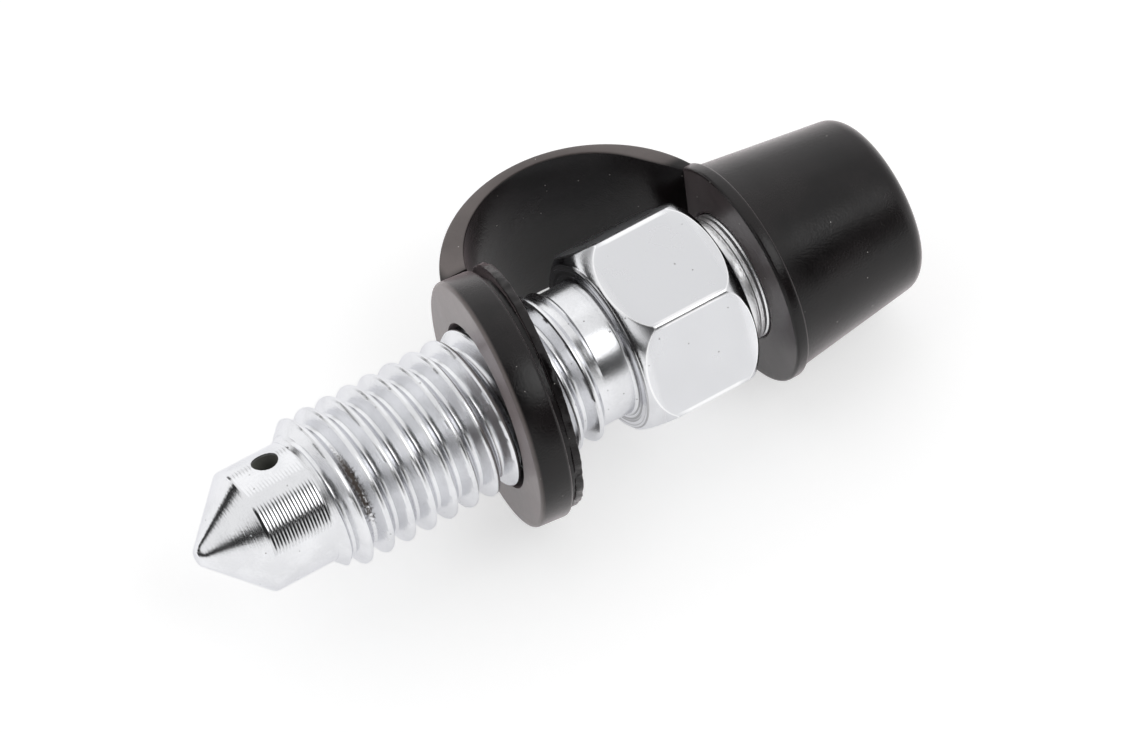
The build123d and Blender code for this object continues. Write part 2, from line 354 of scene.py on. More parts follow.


# Zinc plated steel, bright on the turned lengths and duller where it is rough, with a painted highlight on the
# hexagon's broken edges
steel = {
    "bright": (0.825, 0.83, 0.85, 1),
    "dull": (0.695, 0.70, 0.72, 1),
    # painted highlight: the near-white colour of the hexagon's broken edges
    "edge": (0.97, 0.97, 0.98, 1),
    "grazing": (0.88, 0.88, 0.90, 1),
    "dirt": (0.085, 0.068, 0.058, 1),
    "pit": (0.30, 0.29, 0.28, 1),
    "holeWall": (0.17, 0.17, 0.155, 1),
    "collarLight": (0.93, 0.93, 0.94, 1),
    "toolMark": (0.22, 0.215, 0.22, 1),
    "flats": (34.0, 42.2, 0.5),   # heights at which each finish begins and ends, and how softly
    "flatsRadii": (6.6, 6.8),
    "collar": (42.85, 48.0, 0.05),
    "threaded": (8.9, 33.3, 0.2),
    "hexFace": (33.25, 33.5, 0.05),
    "holeEdge": (1.01, 1.06),     # from the cross hole's axis
    "holeRadii": (4.5, 4.66),
    "dirtAngles": (0.60, 1.55, 0.2),   # radians round the axis from the cross hole
    "dirtHeights": (10.6, 12.3, 0.15),
    "dirtWidth": (0.10, 0.24),    # from the middle of the groove's root
    "dirtFray": 0.9,
    "markScale": 5.5,             # turning marks for each millimetre, nearly unbroken round the axis
    "markTurn": 0.35,
    "cloudScale": 0.35,
    "cloudDetail": 4.0,
    "fleckScale": 5.0,
    "pitScale": 0.9,
    "pitSize": (0.06, 0.09),
    "pitFray": 0.05,
    "pitShare": 0.6,
    "wearLevels": (0.5, 0.85),
    "wearFleck": 0.35,
    "wearShare": 0.6,
    "flatShare": 0.8,
    "toolMarkLevels": (0.44, 0.54),
    "toolMarkShare": 0.7,
    "cloudLevels": (0.3, 0.7),
    "roughness": (0.09, 0.15),
    "threadRougher": 0.13,
    "flatsRougher": 0.17,
    "collarRougher": 0.18,
    "dirtRougher": 0.4,
    "holeRougher": 0.3,
    "collarDuller": 0.15,         # how much less metallic the rough collar is
    "leastMetallic": 0.1,
    "fleckRelief": 0.004,         # mm
    "markRelief": 0.006,
    "pitRelief": 0.02,
    "faceRelief": 0.03,
    "collarRelief": 0.02,
}


def steelMaterial():
    made = bpy.data.materials.new("zincPlatedSteel")
    made.use_nodes = True
    tree = made.node_tree
    shader = tree.nodes["Principled BSDF"]
    own = addNode(tree, "ShaderNodeAttribute", attribute_name="own").outputs["Vector"]
    edge = addNode(tree, "ShaderNodeAttribute", attribute_name="edge").outputs["Fac"]
    spot = addNode(tree, "ShaderNodeSeparateXYZ", {0: own}).outputs
    radius = calc(tree, "SQRT", calc(tree, "ADD", times(tree, spot[0], spot[0]), times(tree, spot[1], spot[1])))
    angle = calc(tree, "ARCTAN2", spot[1], spot[0])
    height = spot[2]

    # turning marks run round the axis on cylinders, cones and faces alike, but not on the flats
    around = addNode(tree, "ShaderNodeCombineXYZ", {
        0: times(tree, radius, steel["markScale"]), 1: times(tree, height, steel["markScale"]),
        2: times(tree, angle, steel["markTurn"])}).outputs[0]
    marks = noiseOn(tree, around, 1.0)
    onFlats = times(tree, bandPass(tree, height, *steel["flats"]),
                    scaled(tree, radius, *steel["flatsRadii"], smooth=True))
    onCollar = bandPass(tree, height, *steel["collar"])
    onThread = bandPass(tree, height, *steel["threaded"])
    onFace = bandPass(tree, height, *steel["hexFace"])
    fromHole = calc(tree, "SQRT", calc(
        tree, "ADD", times(tree, spot[1], spot[1]),
        calc(tree, "POWER", calc(tree, "SUBTRACT", height, screw["crossHoleHeight"]), 2.0)))
    inHole = times(tree, scaled(tree, fromHole, *steel["holeEdge"], 1.0, 0.0),
                   scaled(tree, radius, *steel["holeRadii"], 1.0, 0.0))

    cloud = noiseOn(tree, own, steel["cloudScale"], steel["cloudDetail"])
    fleck = noiseOn(tree, own, steel["fleckScale"])
    pits = addNode(tree, "ShaderNodeTexVoronoi", {"Vector": own, "Scale": steel["pitScale"]}).outputs["Distance"]
    frayedPits = calc(tree, "ADD", pits, times(tree, fleck, steel["pitFray"]))
    pitHere = scaled(tree, frayedPits, *steel["pitSize"], 1.0, 0.0, smooth=True)
    worn = calc(tree, "ADD", cloud, times(tree, fleck, steel["wearFleck"]))
    wear = scaled(tree, worn, *steel["wearLevels"], smooth=True)
    duller = calc(tree, "MAXIMUM", times(tree, wear, steel["wearShare"]), times(tree, onFlats, steel["flatShare"]))
    plated = mixed(tree, duller, steel["bright"], steel["dull"])
    plated = mixed(tree, times(tree, pitHere, steel["pitShare"]), plated, steel["pit"])
    # painted highlight: the hexagon's broken edges are painted near white
    plated = mixed(tree, edge, plated, steel["edge"])
    plated = mixed(tree, onCollar, plated, steel["collarLight"])
    toolMarks = times(tree, scaled(tree, marks, *steel["toolMarkLevels"], 1.0, 0.0, smooth=True), onFace)
    plated = mixed(tree, times(tree, toolMarks, steel["toolMarkShare"]), plated, steel["toolMark"])
    plated = mixed(tree, inHole, plated, steel["holeWall"])

    # dirt left in the root of a groove, on one side
    pitch = thread["Pitch"]
    unwound = calc(tree, "SUBTRACT", height, times(tree, angle, pitch / (2 * math.pi)))
    fromRoot = calc(tree, "PINGPONG", calc(tree, "SUBTRACT", unwound, thread["First groove"]), pitch / 2)
    ragged = times(tree, calc(tree, "SUBTRACT", fleck, 0.5), steel["dirtFray"])
    frayedRoot = calc(tree, "ADD", fromRoot, times(tree, ragged, steel["dirtFray"]))
    inRoot = scaled(tree, frayedRoot, *steel["dirtWidth"], 1.0, 0.0, smooth=True)
    onSide = bandPass(tree, calc(tree, "ADD", angle, ragged), *steel["dirtAngles"])
    low = bandPass(tree, height, *steel["dirtHeights"])
    dirty = times(tree, times(tree, inRoot, onSide), low)
    tree.links.new(mixed(tree, dirty, plated, steel["dirt"]), shader.inputs["Base Color"])

    bare = calc(tree, "SUBTRACT", 1.0, calc(tree, "MAXIMUM", dirty, inHole))
    bare = calc(tree, "SUBTRACT", bare, times(tree, onCollar, steel["collarDuller"]))
    tree.links.new(scaled(tree, bare, 0.0, 1.0, steel["leastMetallic"], 1.0), shader.inputs["Metallic"])
    shader.inputs["Specular Tint"].default_value = steel["grazing"]
    gloss = scaled(tree, cloud, *steel["cloudLevels"], *steel["roughness"])
    for where, rougher in ((onThread, "threadRougher"), (onFlats, "flatsRougher"), (onCollar, "collarRougher"),
                           (dirty, "dirtRougher"), (inHole, "holeRougher")):
        gloss = calc(tree, "ADD", gloss, times(tree, where, steel[rougher]))
    tree.links.new(gloss, shader.inputs["Roughness"])
    marked = times(tree, marks, calc(tree, "SUBTRACT", 1.0, onFlats))
    relief = calc(tree, "ADD", times(tree, fleck, steel["fleckRelief"]), times(tree, marked, steel["markRelief"]))
    relief = calc(tree, "SUBTRACT", relief, times(tree, pitHere, steel["pitRelief"]))
    relief = calc(tree, "ADD", relief, times(tree, times(tree, marks, onFace), steel["faceRelief"]))
    relief = calc(tree, "ADD", relief, times(tree, times(tree, fleck, onCollar), steel["collarRelief"]))
    bump = addNode(tree, "ShaderNodeBump", {"Height": relief, "Strength": 1.0, "Distance": mm})
    tree.links.new(bump.outputs["Normal"], shader.inputs["Normal"])
    return made


def threadTree():
    tree = bpy.data.node_groups.new("thread", "GeometryNodeTree")
    tree.interface.new_socket("Geometry", in_out="INPUT", socket_type="NodeSocketGeometry")
    tree.interface.new_socket("Geometry", in_out="OUTPUT", socket_type="NodeSocketGeometry")
    for name, value in thread.items():
        kind = "NodeSocketInt" if isinstance(value, int) else "NodeSocketFloat"
        tree.interface.new_socket(name, in_out="INPUT", socket_type=kind)
    tree.interface.new_socket("Material", in_out="INPUT", socket_type="NodeSocketMaterial")
    given = tree.nodes.new("NodeGroupInput").outputs
    flank = 1 / math.tan(math.radians(threadDetail["flankLean"]))

    grid = addNode(tree, "GeometryNodeMeshGrid", {
        "Size X": 1.0, "Size Y": 1.0,
        "Vertices X": calc(tree, "ADD", given["Around"], 1.0),
        "Vertices Y": calc(tree, "ADD", given["Rows"], 1.0),
    })
    spot = addNode(tree, "ShaderNodeSeparateXYZ", {0: addNode(tree, "GeometryNodeInputPosition").outputs[0]})
    across = calc(tree, "ADD", spot.outputs["X"], 0.5)
    along = calc(tree, "ADD", spot.outputs["Y"], 0.5)
    evenTurn = times(tree, across, 2 * math.pi)
    crowd = times(tree, calc(tree, "SINE", times(tree, evenTurn, 6.0)),
                 calc(tree, "DIVIDE", given["Corner crowding"], 6.0))
    turn = calc(tree, "SUBTRACT", evenTurn, crowd)
    length = calc(tree, "SUBTRACT", given["Upper end"], given["Lower end"])
    start = calc(tree, "SUBTRACT", given["Lower end"], given["Pitch"])
    base = calc(tree, "ADD", start, times(tree, along, calc(tree, "ADD", length, given["Pitch"])))
    climbed = times(tree, turn, calc(tree, "DIVIDE", given["Pitch"], 2 * math.pi))
    height = addNode(tree, "ShaderNodeClamp", {
        "Value": calc(tree, "ADD", base, climbed), "Min": given["Lower end"], "Max": given["Upper end"]}).outputs[0]

    # the groove's section, from the distance to the middle of the nearest groove
    away = calc(tree, "PINGPONG", calc(tree, "SUBTRACT", base, given["First groove"]),
                calc(tree, "DIVIDE", given["Pitch"], 2.0))
    slope = calc(tree, "ADD", given["Root radius"],
                 times(tree, calc(tree, "SUBTRACT", away, given["Root half"]), flank))
    grooved = calc(tree, "SMOOTH_MAX", given["Root radius"], slope, given["Root rounding"])
    wanderAt = addNode(tree, "ShaderNodeCombineXYZ", {
        "X": times(tree, calc(tree, "COSINE", turn), threadDetail["wanderReach"]),
        "Y": times(tree, calc(tree, "SINE", turn), threadDetail["wanderReach"]), "Z": height}).outputs[0]
    wander = noiseOn(tree, wanderAt, threadDetail["wanderScale"])
    crest = calc(tree, "SUBTRACT", given["Crest radius"], times(tree, wander, given["Crest wander"]))
    section = calc(tree, "SMOOTH_MIN", crest, grooved, given["Crest rounding"])

    # both ends: the start cone, the end cone and the groove's way out
    runout = addNode(tree, "ShaderNodeMapRange", {
        "Value": height, "From Min": calc(tree, "SUBTRACT", given["Upper end"], threadDetail["runout"]),
        "From Max": given["Upper end"], "To Min": given["Root radius"],
        "To Max": given["Neck radius"]}).outputs["Result"]
    startCone = calc(tree, "ADD", given["Pilot radius"], calc(tree, "SUBTRACT", height, given["Lower end"]))
    endCone = calc(tree, "ADD", given["Neck radius"],
                   times(tree, calc(tree, "SUBTRACT", given["Upper end"], height), given["End slope"]))
    radius = calc(tree, "MINIMUM", calc(tree, "MAXIMUM", section, runout), calc(tree, "MINIMUM", startCone, endCone))
    moved = addNode(tree, "ShaderNodeCombineXYZ", {
        "X": times(tree, radius, calc(tree, "COSINE", turn)),
        "Y": times(tree, radius, calc(tree, "SINE", turn)), "Z": height}).outputs[0]
    placed = addNode(tree, "GeometryNodeSetPosition", {"Geometry": grid.outputs["Mesh"], "Position": moved})
    joined = addNode(tree, "GeometryNodeMergeByDistance", {"Geometry": placed.outputs[0], "Distance": mergeWithin})
    real = addNode(tree, "GeometryNodeRealizeInstances", {0: joined.outputs[0]})
    coated = addNode(tree, "GeometryNodeSetMaterial", {"Geometry": real.outputs[0], "Material": given["Material"]})
    result = tree.nodes.new("NodeGroupOutput")
    tree.links.new(coated.outputs[0], result.inputs[0])
    return tree


def threadMesh():
    holder = makeObject("threadHolder", bpy.data.meshes.new("threadHolder"))
    tree = threadTree()
    maker = holder.modifiers.new("thread", "NODES")
    maker.node_group = tree
    sockets = {item.name: item.identifier for item in tree.interface.items_tree if item.in_out == "INPUT"}
    for name, value in thread.items():
        maker[sockets[name]] = value
    maker[sockets["Material"]] = steelLook
    return evaluatedMesh(holder)


def crowdedTurns():
    made = []
    for turn in evenTurns(screw["around"]):
        made.append(turn - screw["cornerCrowding"] / 6 * math.sin(6 * turn))
    return made


def hexRadius(turn):
    # a rounded corner stands at each whole sixth of a turn
    aside = math.remainder(turn, math.pi / 3)
    middle = (screw["hexFlat"] - screw["hexCornerRound"]) / math.cos(math.pi / 6)
    reach = screw["hexCornerRound"] ** 2 - (middle * math.sin(aside)) ** 2
    rounded = middle * math.cos(aside) + math.sqrt(max(reach, 0))
    flat = screw["hexFlat"] / math.cos(math.pi / 6 - abs(aside))
    onCorner = abs(middle * math.sin(aside)) < screw["hexCornerRound"] / 2
    return rounded if onCorner else flat


def hexEnd(turns, end, inward, face, turning):
    # rows from a face of the hexagon up to its flats: the turned chamfer, then the broken edge
    barRadius = screw["hexFlat"] / math.cos(math.pi / 6)
    out, crown, broken = barRadius - face, screw["turningCrown"], screw["edgeBreak"]
    chord = math.hypot(out, turning)
    bend = (chord * chord / 4 + crown * crown) / (2 * crown)
    middle = (face + out / 2 - turning / chord * (bend - crown), turning / 2 + out / chord * (bend - crown))
    first = -math.acos((face - middle[0]) / bend)
    rows, corner, onFlat = [], [], []
    for turn in turns:
        radius = hexRadius(turn)
        edge = -math.acos((radius - middle[0]) / bend)
        line = []
        for step in range(screw["chamferRows"]):
            angle = first + (edge - broken / bend - first) * step / (screw["chamferRows"] - 1)
            line.append((middle[0] + bend * math.cos(angle), end + inward * (middle[1] + bend * math.sin(angle))))
        rows.append(line)
        height = end + inward * (middle[1] + bend * math.sin(edge))
        flatPoint = (radius, height + inward * broken)
        onFlat.append(flatPoint)
        corner.append(tuple(sharp * 0.5 + (before + after) * 0.25
                            for sharp, before, after in zip((radius, height), line[-1], flatPoint)))
    return [list(row) for row in zip(*rows)] + [corner, onFlat]


def flatRows(low, high, count):
    rows = []
    for step in range(1, count):
        share = step / count
        rows.append([(start[0], start[1] + (end[1] - start[1]) * share) for start, end in zip(low, high)])
    return rows


def uneven(values, number):
    middle, swing, pace = values
    return middle + swing * math.sin(pace * number)


def tipOutline():
    # from the flat of the tip over the cone and the pilot's turning marks to the thread
    flat, tipBreak = screw["tipFlat"], screw["tipBreak"]
    made = [(0, 0), (flat - tipBreak, 0), (flat + tipBreak, tipBreak)]
    for step in range(1, screw["coneRows"] + 1):
        share = step / screw["coneRows"]
        made.append((flat + (screw["pilotRadius"] - flat - screw["coneBreak"]) * share,
                     (screw["coneTop"] - screw["coneBreak"]) * share))
    length = screw["threadBottom"] - screw["coneTop"] - 2 * screw["pilotMargin"]
    rowsForMark = screw["turnedRows"]
    rows = round(length / screw["turnedLine"]) * rowsForMark
    for step in range(rows + 1):
        depth = screw["turnedDepth"] * (1 - abs(math.sin(math.pi * step / rowsForMark)))
        made.append((screw["pilotRadius"] - depth, screw["coneTop"] + screw["pilotMargin"] + length * step / rows))
    made.append((screw["pilotRadius"], screw["threadBottom"]))
    return made


def collarOutline():
    # from the hexagon over the collar's rough marks and the hidden hose end down the bore to its point
    radius, foot = screw["collarRadius"], screw["hexTop"]
    made = [(radius + out, foot + up) for out, up in screw["collarFoot"]]
    for line in range(screw["collarLines"]):
        height = foot + screw["collarFirst"] + line * screw["collarLine"]
        depth = screw["collarDepth"] * uneven(screw["collarDepths"], line)
        made += [(radius - depth, height + screw["collarLine"] * uneven(screw["collarPlaces"], line)),
                 (radius, height + screw["collarLine"])]
    made += [(radius, screw["collarTop"]), *screw["hoseEnd"]]
    return made + [(screw["boreRadius"], height) for height in screw["boreRows"]] + [(0, screw["borePoint"])]


def onCircle(row, turns):
    return [(radius * math.cos(turn), radius * math.sin(turn), height) for (radius, height), turn in zip(row, turns)]


def screwMesh():
    # the mesh, and the points of the hexagon's broken edges
    turns = crowdedTurns()
    hexFront = hexEnd(turns, screw["hexBottom"], 1, screw["frontFace"], screw["frontTurning"])
    hexBack = hexEnd(turns, screw["hexTop"], -1, screw["backFace"], screw["backTurning"])[::-1]
    flats = flatRows(hexFront[-1], hexBack[0], screw["hexRows"])
    fillet = screw["neckFillet"]
    back = [(screw["neckRadius"], height) for height in (screw["threadTop"], *screw["neckRows"])]
    back += arc((screw["neckRadius"] + fillet, screw["hexBottom"] - fillet), fillet, 180, 90, screw["filletSteps"])
    back += hexFront + flats + hexBack + collarOutline()

    corners = [number for number, turn in enumerate(turns)
               if abs(math.remainder(turn, math.pi / 3)) < screw["cornerWithin"]]
    edgePoints = onCircle(hexFront[-2], turns) + onCircle(hexBack[1], turns)
    for row in flats:
        edgePoints += [onCircle(row, turns)[number] for number in corners]

    whole = bmesh.new()
    for outline in (tipOutline(), back):
        points, faces = lathe(outline, turns)
        part = bpy.data.meshes.new("turned")
        part.from_pydata(points, [], faces)
        whole.from_mesh(part)
    whole.from_mesh(threadMesh())
    bmesh.ops.remove_doubles(whole, verts=whole.verts, dist=screw["joinWithin"])
    bmesh.ops.dissolve_degenerate(whole, edges=whole.edges, dist=mergeWithin)
    bmesh.ops.recalc_face_normals(whole, faces=whole.faces)
    print("open edges on the screw:", sum(not edge.is_manifold for edge in whole.edges))
    mesh = bpy.data.meshes.new("screw")
    whole.to_mesh(mesh)
    whole.free()
    radius, (start, end) = screw["crossHoleRadius"], screw["crossHoleRun"]
    drill = meshFrom("drill", *lathe([(0, start), (radius, start), (radius, end), (0, end)],
                                     evenTurns(screw["crossHoleAround"])))
    drill.transform(Matrix.Translation((0, 0, screw["crossHoleHeight"])) @ Matrix.Rotation(math.pi / 2, 4, "Y"))
    return carve(mesh, "DIFFERENCE", drill), edgePoints


steelLook = steelMaterial()
print("steel made")
screwShape, brightEdges = screwMesh()
smoothByAngle(screwShape, screw["smoothBelow"])
paintEdgeHighlight(screwShape, brightEdges, screw["edgeWithin"])
finishPiece("screwBody", screwShape, screwFrame, "screw", "bleeder_screw", steelLook)

# Dust cap: ring with its lip, bent strap and cup, its strap on the +X side
cap = {
    "around": 192,
    "smoothBelow": 32,        # degrees
    "ringHeight": 23.9,
    "ringRadius": 9.4,
    "ringThickness": 2.5,
    "ringRound": 0.3,
    "ringLean": 7.2,
    "ringHole": 6.3,
    "ringHoleRun": (20, 31),
    "grooveRadius": 8.7,
    "grooveRound": 0.05,
    "lipHeight": 27.0,
    "lipRadius": 9.22,
    "lipThickness": 0.65,
    "lipRound": 0.12,
    "lipLean": 8.4,
    "discMargin": 0.06,       # flat rim between a disc's face and its rounding
    "flash": 0.12,            # how ragged the moulding flash is
    "flashReach": 6,
    "flashRise": 0.5,
    "flashFractal": (0.6, 2.0, 4),
    "flashFine": (4, 0.6),    # scale and share of the finer noise
    "flashInwards": 0.4,
    "rimHeight": 44.85,
    "rimRadius": 8.58,
    "rimThickness": 1,
    "rimRound": 0.22,
    "rimMargin": 0.08,
    "rimRoundEnd": 80,        # degrees
    "cupRadius": 8.23,
    "cupFillet": (0.04, 0.03),
    "cupEndRadius": 6.73,
    "cupTop": 57.25,
    "cupDome": 0.4,
    "cupEndRound": 1.5,
    "wallRows": 11,
    "domeRows": 8,
    "roundSteps": 12,
    "edgeSteps": 4,           # in the quarter round of a rim's edge
    "fittingSteps": 8,        # tries that place the end's rounding
    "mouthRadius": 4.98,
    "mouthBreak": 0.1,
    "mouthRun": 2,            # how far below the rim its tool starts
    "cavityRadius": 4.38,
    "mouthFloor": 47.5,
    "cavityTop": 55.5,
    "strapHalfWidth": 6.48,
    "strapReach": 13.41,
    "strapCover": 0.15,       # how far its ends are sunk in ring and rim
    "strapRingSetback": 0.3,
    "strapRimSetback": 0.1,
    "strapRingThickness": 2.2,
    "strapBendThickness": 0.85,
    "strapRimThickness": 1.95,
    "strapFoot": 0.8,
    "strapEdgeRound": 0.22,
    "strapEdgeSteps": 3,
    "strapLanding": 56,       # degrees round the bend, straight from there to the rim
    "strapSink": 0.1,         # and so far into it
    "strapStations": 72,
}

# Moulded rubber, with a painted reflection that makes the ring's face and the strap's edges paler
rubber = {
    "black": (0.0034, 0.0026, 0.0028, 1),
    "rubbed": (0.0110, 0.0086, 0.0090, 1),
    # painted reflection: the pale brownish grey of light caught on the ring's face and the strap's edges
    "paintedGlare": (0.200, 0.172, 0.166, 1),
    "dust": (0.55, 0.53, 0.50, 1),
    "cloudScale": 0.25,
    "cloudDetail": 5.0,
    "grainScale": 7.0,
    "dustScale": 0.75,
    "dustSize": (0.027, 0.045),  # of the cells' width
    "dustFray": 0.05,
    "dustShare": 0.6,
    "rubbedLevels": (0.5, 0.85),
    "rubbedGrain": 0.3,
    "faceDepth": (0.05, 0.35),
    "edgeAside": (6.33, 6.47),      # from the strap's middle
    "edgeOut": (6.2, 7.2),          # from the screw's axis
    "edgeHeights": (25.5, 45.5, 0.5),
    "edgeShare": 0.75,
    "cloudLevels": (0.3, 0.7),
    "paintedGlareShares": (0.70, 1.0),
    "roughness": (0.17, 0.27),
    "shine": 0.31,
    "sheen": 0.50,
    "sheenRoughness": 0.32,
    "sheenTint": (1.0, 0.82, 0.85, 1),
    "grainRelief": 0.03,            # mm
    "cloudRelief": 0.08,
    "reliefStrength": 0.5,
}


def rubberMaterial():
    made = bpy.data.materials.new("blackRubber")
    made.use_nodes = True
    tree = made.node_tree
    shader = tree.nodes["Principled BSDF"]
    own = addNode(tree, "ShaderNodeAttribute", attribute_name="own").outputs["Vector"]
    cloud = noiseOn(tree, own, rubber["cloudScale"], rubber["cloudDetail"])
    grain = noiseOn(tree, own, rubber["grainScale"])
    specks = addNode(tree, "ShaderNodeTexVoronoi", {"Vector": own, "Scale": rubber["dustScale"]}).outputs["Distance"]
    broken = calc(tree, "ADD", specks, times(tree, calc(tree, "SUBTRACT", grain, 0.5), rubber["dustFray"]))
    speck = scaled(tree, broken, *rubber["dustSize"], 1.0, 0.0, smooth=True)
    rubbed = scaled(tree, calc(tree, "ADD", cloud, times(tree, grain, rubber["rubbedGrain"])),
                    *rubber["rubbedLevels"], smooth=True)
    tone = mixed(tree, rubbed, rubber["black"], rubber["rubbed"])
    spot = addNode(tree, "ShaderNodeSeparateXYZ", {0: own}).outputs
    slope = math.tan(math.radians(cap["ringLean"]))
    leanedUp = calc(tree, "SUBTRACT", calc(tree, "SUBTRACT", spot[2], cap["ringHeight"]), times(tree, spot[0], slope))
    # painted reflection: the ring's face and the strap's edges are made paler, as where they catch light
    onFace = scaled(tree, leanedUp, *rubber["faceDepth"], 1.0, 0.0, smooth=True)
    onEdge = times(tree, scaled(tree, calc(tree, "ABSOLUTE", spot[1]), *rubber["edgeAside"], smooth=True),
                   scaled(tree, spot[0], *rubber["edgeOut"], smooth=True))
    onEdge = times(tree, onEdge, bandPass(tree, spot[2], *rubber["edgeHeights"]))
    pale = calc(tree, "MAXIMUM", onFace, times(tree, onEdge, rubber["edgeShare"]))
    pale = times(tree, pale, scaled(tree, cloud, *rubber["cloudLevels"], *rubber["paintedGlareShares"]))
    tone = mixed(tree, pale, tone, rubber["paintedGlare"])
    dusty = mixed(tree, times(tree, speck, rubber["dustShare"]), tone, rubber["dust"])
    tree.links.new(dusty, shader.inputs["Base Color"])
    gloss = scaled(tree, cloud, *rubber["cloudLevels"], *rubber["roughness"])
    tree.links.new(gloss, shader.inputs["Roughness"])
    shader.inputs["Specular IOR Level"].default_value = rubber["shine"]
    shader.inputs["Sheen Weight"].default_value = rubber["sheen"]
    shader.inputs["Sheen Roughness"].default_value = rubber["sheenRoughness"]
    shader.inputs["Sheen Tint"].default_value = rubber["sheenTint"]
    relief = calc(tree, "ADD", times(tree, grain, rubber["grainRelief"]), times(tree, cloud, rubber["cloudRelief"]))
    bump = addNode(tree, "ShaderNodeBump", {
        "Height": relief, "Strength": rubber["reliefStrength"], "Distance": mm})
    tree.links.new(bump.outputs["Normal"], shader.inputs["Normal"])
    return made


def leaned(height, degrees):
    return Matrix.Translation((0, 0, height)) @ Matrix.Rotation(math.radians(-degrees), 4, "Y")


def flashWave(turn, height):
    # how far the moulding flash stands out at one place, mostly inwards
    spot = Vector((math.cos(turn) * cap["flashReach"], math.sin(turn) * cap["flashReach"], height * cap["flashRise"]))
    scale, share = cap["flashFine"]
    return noise.fractal(spot, *cap["flashFractal"]) + noise.noise(spot * scale) * share - cap["flashInwards"]


def disc(radius, thickness, rounding, ragged=0.0):
    # a round plate, its edge moved in and out where it is ragged
    turns = evenTurns(cap["around"])
    flatTo = radius - rounding - cap["discMargin"] - 2 * ragged
    edge = arc((radius - rounding, rounding), rounding, -90, 0, cap["edgeSteps"])
    edge += arc((radius - rounding, thickness - rounding), rounding, 0, 90, cap["edgeSteps"])
    rows = [(0, 0), (flatTo, 0)]
    for outRadius, height in edge:
        rows.append([(outRadius + ragged * flashWave(turn, height), height) for turn in turns])
    rows += [(flatTo, thickness), (0, thickness)]
    return meshFrom("disc", *lathe(rows, turns))


def throughThree(first, middle, last):
    # centre and radius of the circle through three points
    ax, ay = first
    bx, by = middle
    cx, cy = last
    twice = 2 * (ax * (by - cy) + bx * (cy - ay) + cx * (ay - by))
    squares = [x * x + y * y for x, y in (first, middle, last)]
    x = (squares[0] * (by - cy) + squares[1] * (cy - ay) + squares[2] * (ay - by)) / twice
    y = (squares[0] * (cx - bx) + squares[1] * (ax - cx) + squares[2] * (bx - ax)) / twice
    return (x, y), math.hypot(ax - x, ay - y)


def runAlong(points, stations, straightFrom=None):
    # an arc through three points, from an angle on straight to the cup's rim
    (x, y), radius = throughThree(*points)
    start = math.atan2(points[0][1] - y, points[0][0] - x)
    end = math.atan2(points[2][1] - y, points[2][0] - x)
    straight = 0
    if straightFrom:
        end = math.radians(straightFrom)
        landing = cap["rimHeight"] + cap["strapSink"]
        straight = (landing - y - radius * math.sin(end)) / math.cos(end)
    bent = radius * (end - start)
    made = []
    for step in range(stations + 1):
        gone = (bent + straight) * step / stations
        angle = min(start + gone / radius, end)
        over = max(gone - bent, 0)
        made.append((x + radius * math.cos(angle) - over * math.sin(angle),
                     y + radius * math.sin(angle) + over * math.cos(angle)))
    return made


def strapMesh():
    half, cover, rounding = cap["strapHalfWidth"], cap["strapCover"], cap["strapEdgeRound"]
    ringLevel = math.sqrt(cap["ringRadius"] ** 2 - half ** 2) - cover
    rimLevel = math.sqrt(cap["rimRadius"] ** 2 - half ** 2) - cover
    ringHeight = cap["ringHeight"] + ringLevel * math.tan(math.radians(cap["ringLean"])) + cap["strapRingSetback"]
    rimHeight = cap["rimHeight"] + cap["rimThickness"] - cap["strapRimSetback"]
    middle = (ringHeight + rimHeight) / 2
    outer = ((ringLevel, ringHeight), (cap["strapReach"], middle), (rimLevel, rimHeight))
    inner = ((ringLevel, ringHeight + cap["strapRingThickness"]),
             (cap["strapReach"] - cap["strapBendThickness"], middle),
             (rimLevel + cap["strapFoot"], rimHeight - cap["strapRimThickness"]))
    rows = []
    sides = [runAlong(outer, cap["strapStations"]), runAlong(inner, cap["strapStations"], cap["strapLanding"])]
    for out, inside in zip(*sides):
        way = (Vector(inside) - Vector(out)).normalized()
        section = []
        for sideWay in (1, -1):
            corners = ((out, way, 1), (inside, -way, -1)) if sideWay == 1 else ((inside, -way, 1), (out, way, -1))
            for spot, towards, order in corners:
                for step in range(cap["strapEdgeSteps"] + 1):
                    share = step / cap["strapEdgeSteps"]
                    angle = math.pi / 2 * (share if order == 1 else 1 - share)
                    across = half - rounding + rounding * math.sin(angle)
                    deep = rounding * (1 - math.cos(angle))
                    flat = Vector(spot) + towards * deep
                    section.append((flat.x, sideWay * across, flat.y))
        rows.append(section)
    rows.insert(0, [tuple(sum(values) / len(rows[0]) for values in zip(*rows[0]))])
    rows.append([tuple(sum(values) / len(rows[-1]) for values in zip(*rows[-1]))])
    return meshFrom("strap", *skin(rows))


